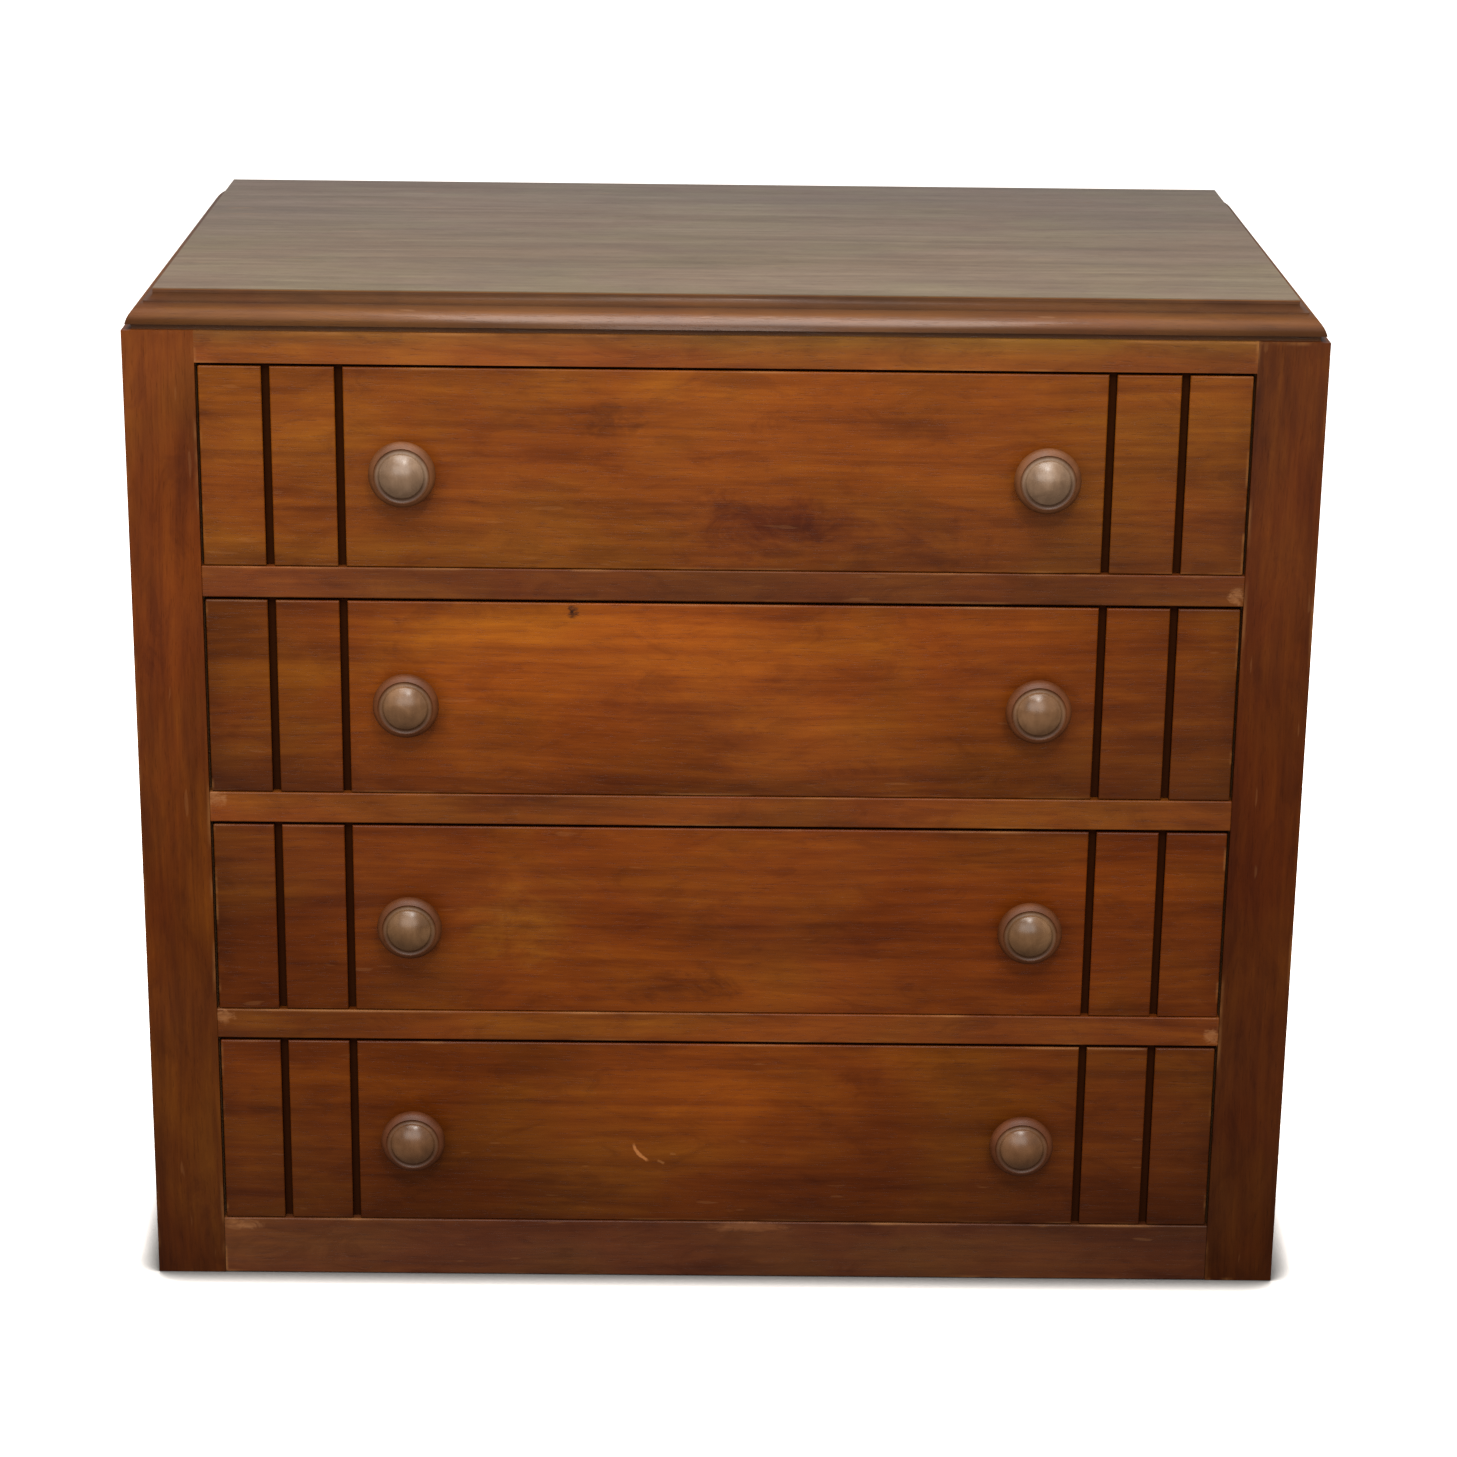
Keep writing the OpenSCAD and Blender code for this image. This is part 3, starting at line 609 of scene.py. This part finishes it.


# knobs: glossy brown, mottled, with dirt and painted shade in the ring round the dome, and painted shade on the lower
# half and the neck
def knob_material(name, centre, seed, tone, shine):
    g = Graph(name)
    dx = g.math("SUBTRACT", g.axis(0), centre[0])
    dz = g.math("SUBTRACT", g.axis(2), centre[2])
    r = g.math("SQRT", g.math("ADD", g.math("POWER", dx, 2.0), g.math("POWER", dz, 2.0)))
    m = g.noise(g.vmap((130, 130, 130), (seed, 0, 0)), 1.0, 4, 0.6, 0.5)
    f = g.noise(g.vmap((500, 500, 90), (seed, 5, 0)), 1.0, 3, 0.6)
    col = g.ramp(g.math("ADD", g.math("MULTIPLY", m, 0.7), g.math("MULTIPLY", f, 0.3)),
                 [(0.3, srgb(104, 80, 61)), (0.5, srgb(128, 101, 79)), (0.7, srgb(152, 124, 101))])
    col = g.mix(1.0, col, tone, "MULTIPLY")
    # the rim is browner than the dome
    rim = g.range(r, 6.6 * MM, 7.8 * MM)
    rim_tone = tuple(0.12 + 0.80 * c for c in tone)
    col = g.mix(rim, col, g.mix(1.0, g.ramp(m, [(0.3, srgb(96, 54, 24)), (0.7, srgb(122, 72, 34))]), rim_tone, "MULTIPLY"))
    # painted shade: the lower half of the knob is darker
    col = g.mix(g.range(dz, -9.0 * MM, 1.0 * MM, 0.45, 0.0), col, g.mix(1.0, col, (0.45, 0.40, 0.38), "MULTIPLY"))
    # the ring round the dome: dirt, with painted shade deeper at the bottom
    low = g.range(dz, -6.0 * MM, 2.0 * MM, 1.0, 0.15)
    ring = g.math("MULTIPLY", g.range(r, 5.9 * MM, 6.7 * MM), g.range(r, 7.2 * MM, 8.0 * MM, 1.0, 0.0))
    col = g.mix(g.math("MULTIPLY", g.math("MULTIPLY", ring, low), 0.75), col, srgb(66, 38, 20))
    # painted shade on the neck behind the head
    neck = g.range(r, 4.5 * MM, 8.6 * MM, 1.0, 0.0)
    back = g.range(g.axis(1), centre[1] - 6.0 * MM, centre[1] - 4.0 * MM)
    col = g.mix(g.math("MULTIPLY", g.math("MULTIPLY", neck, back), 0.6), col, srgb(60, 34, 20))
    rough = g.range(m, 0.3, 0.7, 0.24, 0.36)
    rough = g.math("ADD", rough, g.math("MULTIPLY", g.math("MAXIMUM", ring, rim), 0.24))
    coat = g.math("MULTIPLY", g.math("SUBTRACT", 1.0, g.math("MULTIPLY", g.math("MAXIMUM", ring, rim), 0.85)), shine)
    return g.surface(col, rough, g.bump(m, 0.07 * MM, 0.6), 0.25 + 0.4 * shine, coat=coat, coat_rough=0.26)


def arc(cx, cy, r, a0, a1, n):
    return [(cx + r * math.cos(math.radians(a0 + (a1 - a0) * i / n)), cy + r * math.sin(math.radians(a0 + (a1 - a0) * i / n)))
            for i in range(n + 1)]


def knob_profile(length, head_r):
    """(radius, distance out from the drawer) from the dome's middle round to the bore, in mm."""
    edge = 2.1
    back = length - 6.6
    face = back + 2 * edge
    dome_r, rise = 6.85, length - face + 0.35
    ball = (dome_r ** 2 + rise ** 2) / (2 * rise)
    dome = [(r, length - ball + math.sqrt(ball ** 2 - r ** 2)) for r in (0.35, 0.9, 1.6, 2.3, 3.0, 3.7, 4.4, 5.0, 5.5, 5.85, 6.05)]
    groove = arc(dome_r + 0.1, face + 0.25, 0.8, 188, 340, 9)
    rim = arc(head_r - edge, back + edge, edge, 73, -90, 20)
    under = [(head_r - edge - 1.0, back), (5.2, back)] + arc(5.2, back - 0.9, 0.9, 90, 180, 4)[1:]
    foot = [(4.3, 1.3)] + arc(4.7, 1.3, 0.4, 180, 270, 3)[1:] + [(5.05, 0.9), (5.2, 0.75), (5.2, 0.0)]
    bore = [(1.55, 0.0), (1.55, 8.0)]
    return dome + groove + rim + under + foot + bore


def knob(name, centre, length, head_r, mat, sides=96):
    bm = bmesh.new()
    prof = knob_profile(length / MM, head_r / MM)
    rows = []
    for r, out in prof:
        rows.append([bm.verts.new((centre[0] + r * MM * math.cos(2 * math.pi * k / sides), centre[1] - out * MM,
                                   centre[2] + r * MM * math.sin(2 * math.pi * k / sides))) for k in range(sides)])
    tip = bm.verts.new((centre[0], centre[1] - length, centre[2]))
    end = bm.verts.new((centre[0], centre[1] - 8.0 * MM, centre[2]))
    for k in range(sides):
        j = (k + 1) % sides
        bm.faces.new((tip, rows[0][k], rows[0][j]))
        for a, b in zip(rows, rows[1:]):
            bm.faces.new((a[k], b[k], b[j], a[j]))
        bm.faces.new((rows[-1][k], end, rows[-1][j]))
    bmesh.ops.recalc_face_normals(bm, faces=bm.faces)
    for f in bm.faces:
        f.smooth = True
    for e in bm.edges:
        if len(e.link_faces) == 2 and e.calc_face_angle(0) > 0.9:
            e.smooth = False
    me = bpy.data.meshes.new(name)
    bm.to_mesh(me)
    bm.free()
    me.materials.append(mat)
    o = bpy.data.objects.new(name, me)
    bpy.context.scene.collection.objects.link(o)
    return o


# painted shade: the knobs on the lower drawers are darker (tone), with less coat (shine)
KNOB_ROW_SHADE_AND_SHINE = {1: ((0.94, 0.94, 0.92), 0.42), 2: ((0.78, 0.64, 0.48), 0.26), 3: ((0.68, 0.56, 0.40), 0.28), 4: ((0.60, 0.44, 0.30), 0.30)}
for d in range(1, 5):
    for s in ("left", "right"):
        n = f"drawer_{d}_knob_{s}"
        lo, hi = B(n)
        centre = ((lo[0] + hi[0]) / 2, hi[1], (lo[2] + hi[2]) / 2)
        o = knob(f"drawer_{d}_pull_{s}", centre, hi[1] - lo[1], (hi[0] - lo[0]) / 2,
                 knob_material(n + "_gloss", centre, d * 2.7 + (s == "left"), KNOB_ROW_SHADE_AND_SHINE[d][0], KNOB_ROW_SHADE_AND_SHINE[d][1]))
        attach(o, f"drawer_{d}")
        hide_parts(n)

# ---------------------------------------------------------------- floor, light, camera
scene = bpy.context.scene


def floor():
    me = bpy.data.meshes.new("floor")
    s = 12.0
    me.from_pydata([(-s, -s, 0), (s, -s, 0), (s, s, 0), (-s, s, 0)], [], [(0, 1, 2, 3)])
    o = bpy.data.objects.new("floor", me)
    scene.collection.objects.link(o)
    m = bpy.data.materials.new("floor_pale")
    m.use_nodes = True
    t = m.node_tree
    p = t.nodes["Principled BSDF"]
    t.nodes.remove(p)
    p = t.nodes.new("ShaderNodeBsdfDiffuse")
    # painted contact shade: an ambient-occlusion node darkens the floor's colour close round the base
    ao = t.nodes.new("ShaderNodeAmbientOcclusion")
    ao.samples, ao.only_local = 12, False
    ao.inputs["Distance"].default_value = 0.013
    ramp = t.nodes.new("ShaderNodeValToRGB")
    stops = [(0.50, 0.06), (0.64, 0.13), (0.76, 0.28), (0.88, 0.50), (0.96, 0.80), (1.0, 1.0)]
    while len(ramp.color_ramp.elements) < len(stops):
        ramp.color_ramp.elements.new(0.5)
    for e, (p_, c_) in zip(ramp.color_ramp.elements, stops):
        e.position, e.color = p_, (c_, c_, c_, 1)
    tone = t.nodes.new("ShaderNodeVectorMath")
    tone.operation = "SCALE"
    tone.inputs[0].default_value = (2.5, 2.44, 2.40)
    t.links.new(ao.outputs["AO"], ramp.inputs[0])
    t.links.new(ramp.outputs[0], tone.inputs["Scale"])
    t.links.new(tone.outputs[0], p.inputs[0])
    lp = t.nodes.new("ShaderNodeLightPath")
    dim = t.nodes.new("ShaderNodeBsdfDiffuse")
    dim.inputs[0].default_value = (0.11, 0.10, 0.09, 1)
    mx = t.nodes.new("ShaderNodeMixShader")
    t.links.new(lp.outputs["Is Camera Ray"], mx.inputs[0])
    t.links.new(dim.outputs[0], mx.inputs[1])
    t.links.new(p.outputs[0], mx.inputs[2])
    t.links.new(mx.outputs[0], t.nodes["Material Output"].inputs[0])
    me.materials.append(m)
    o.location.z = -0.0002
    return o


floor()


def area(name, loc, target, size, power, color=(1, 1, 1)):
    l = bpy.data.lights.new(name, "AREA")
    l.shape, l.size, l.size_y = "RECTANGLE", size[0], size[1]
    l.energy, l.color = power, color
    o = bpy.data.objects.new(name, l)
    scene.collection.objects.link(o)
    o.location = loc
    o.rotation_mode = "QUATERNION"
    o.rotation_quaternion = (Vector(target) - Vector(loc)).to_track_quat("-Z", "Y")
    return o


area("key", (-0.12, -1.05, 1.40), (0, -0.05, 0.18), (1.0, 0.6), 13.0, (1.0, 0.97, 0.93))
area("spark", (0.09, -1.12, 1.03), (0, -0.05, 0.20), (0.15, 0.15), 3.4, (1.0, 0.97, 0.93))
area("front", (-0.15, -1.75, 0.62), (0, -0.05, 0.15), (1.7, 0.8), 13.5, (1.0, 0.97, 0.93))
area("overhead", (0.0, -0.15, 1.45), (0, -0.02, 0.29), (1.6, 0.9), 12.0, (1.0, 0.97, 0.94))

world = bpy.data.worlds.new("studio")
scene.world = world
world.use_nodes = True
wt = world.node_tree
bg = wt.nodes["Background"]
bg.inputs[0].default_value = (1.0, 0.98, 0.95, 1)
bg.inputs[1].default_value = 0.42

# camera as the photograph was taken: in front, a little above, nearly square on
case_w = B("side_right")[1][0] - B("side_left")[0][0]
C = Vector((-0.018 * case_w, front_y - 2.930 * case_w, 1.480 * case_w))
pitch, yaw, roll = math.radians(18.17), math.radians(0.46), math.radians(-0.70)
f = Vector((math.sin(yaw) * math.cos(pitch), math.cos(yaw) * math.cos(pitch), -math.sin(pitch)))
right = Vector((math.cos(yaw), -math.sin(yaw), 0))
down = f.cross(right)
r2 = math.cos(roll) * right + math.sin(roll) * down
d2 = -math.sin(roll) * right + math.cos(roll) * down
cam_data = bpy.data.cameras.new("camera")
cam = bpy.data.objects.new("camera", cam_data)
scene.collection.objects.link(cam)
M = Matrix((( r2.x, -d2.x, -f.x, C.x), (r2.y, -d2.y, -f.y, C.y), (r2.z, -d2.z, -f.z, C.z), (0, 0, 0, 1)))
cam.matrix_world = M
cam_data.sensor_width = 36.0
cam_data.lens = 36.0 * 3606 / 1457
cam_data.clip_start, cam_data.clip_end = 0.01, 100
scene.camera = cam

scene.view_settings.view_transform = "Standard"
scene.view_settings.look = "None"
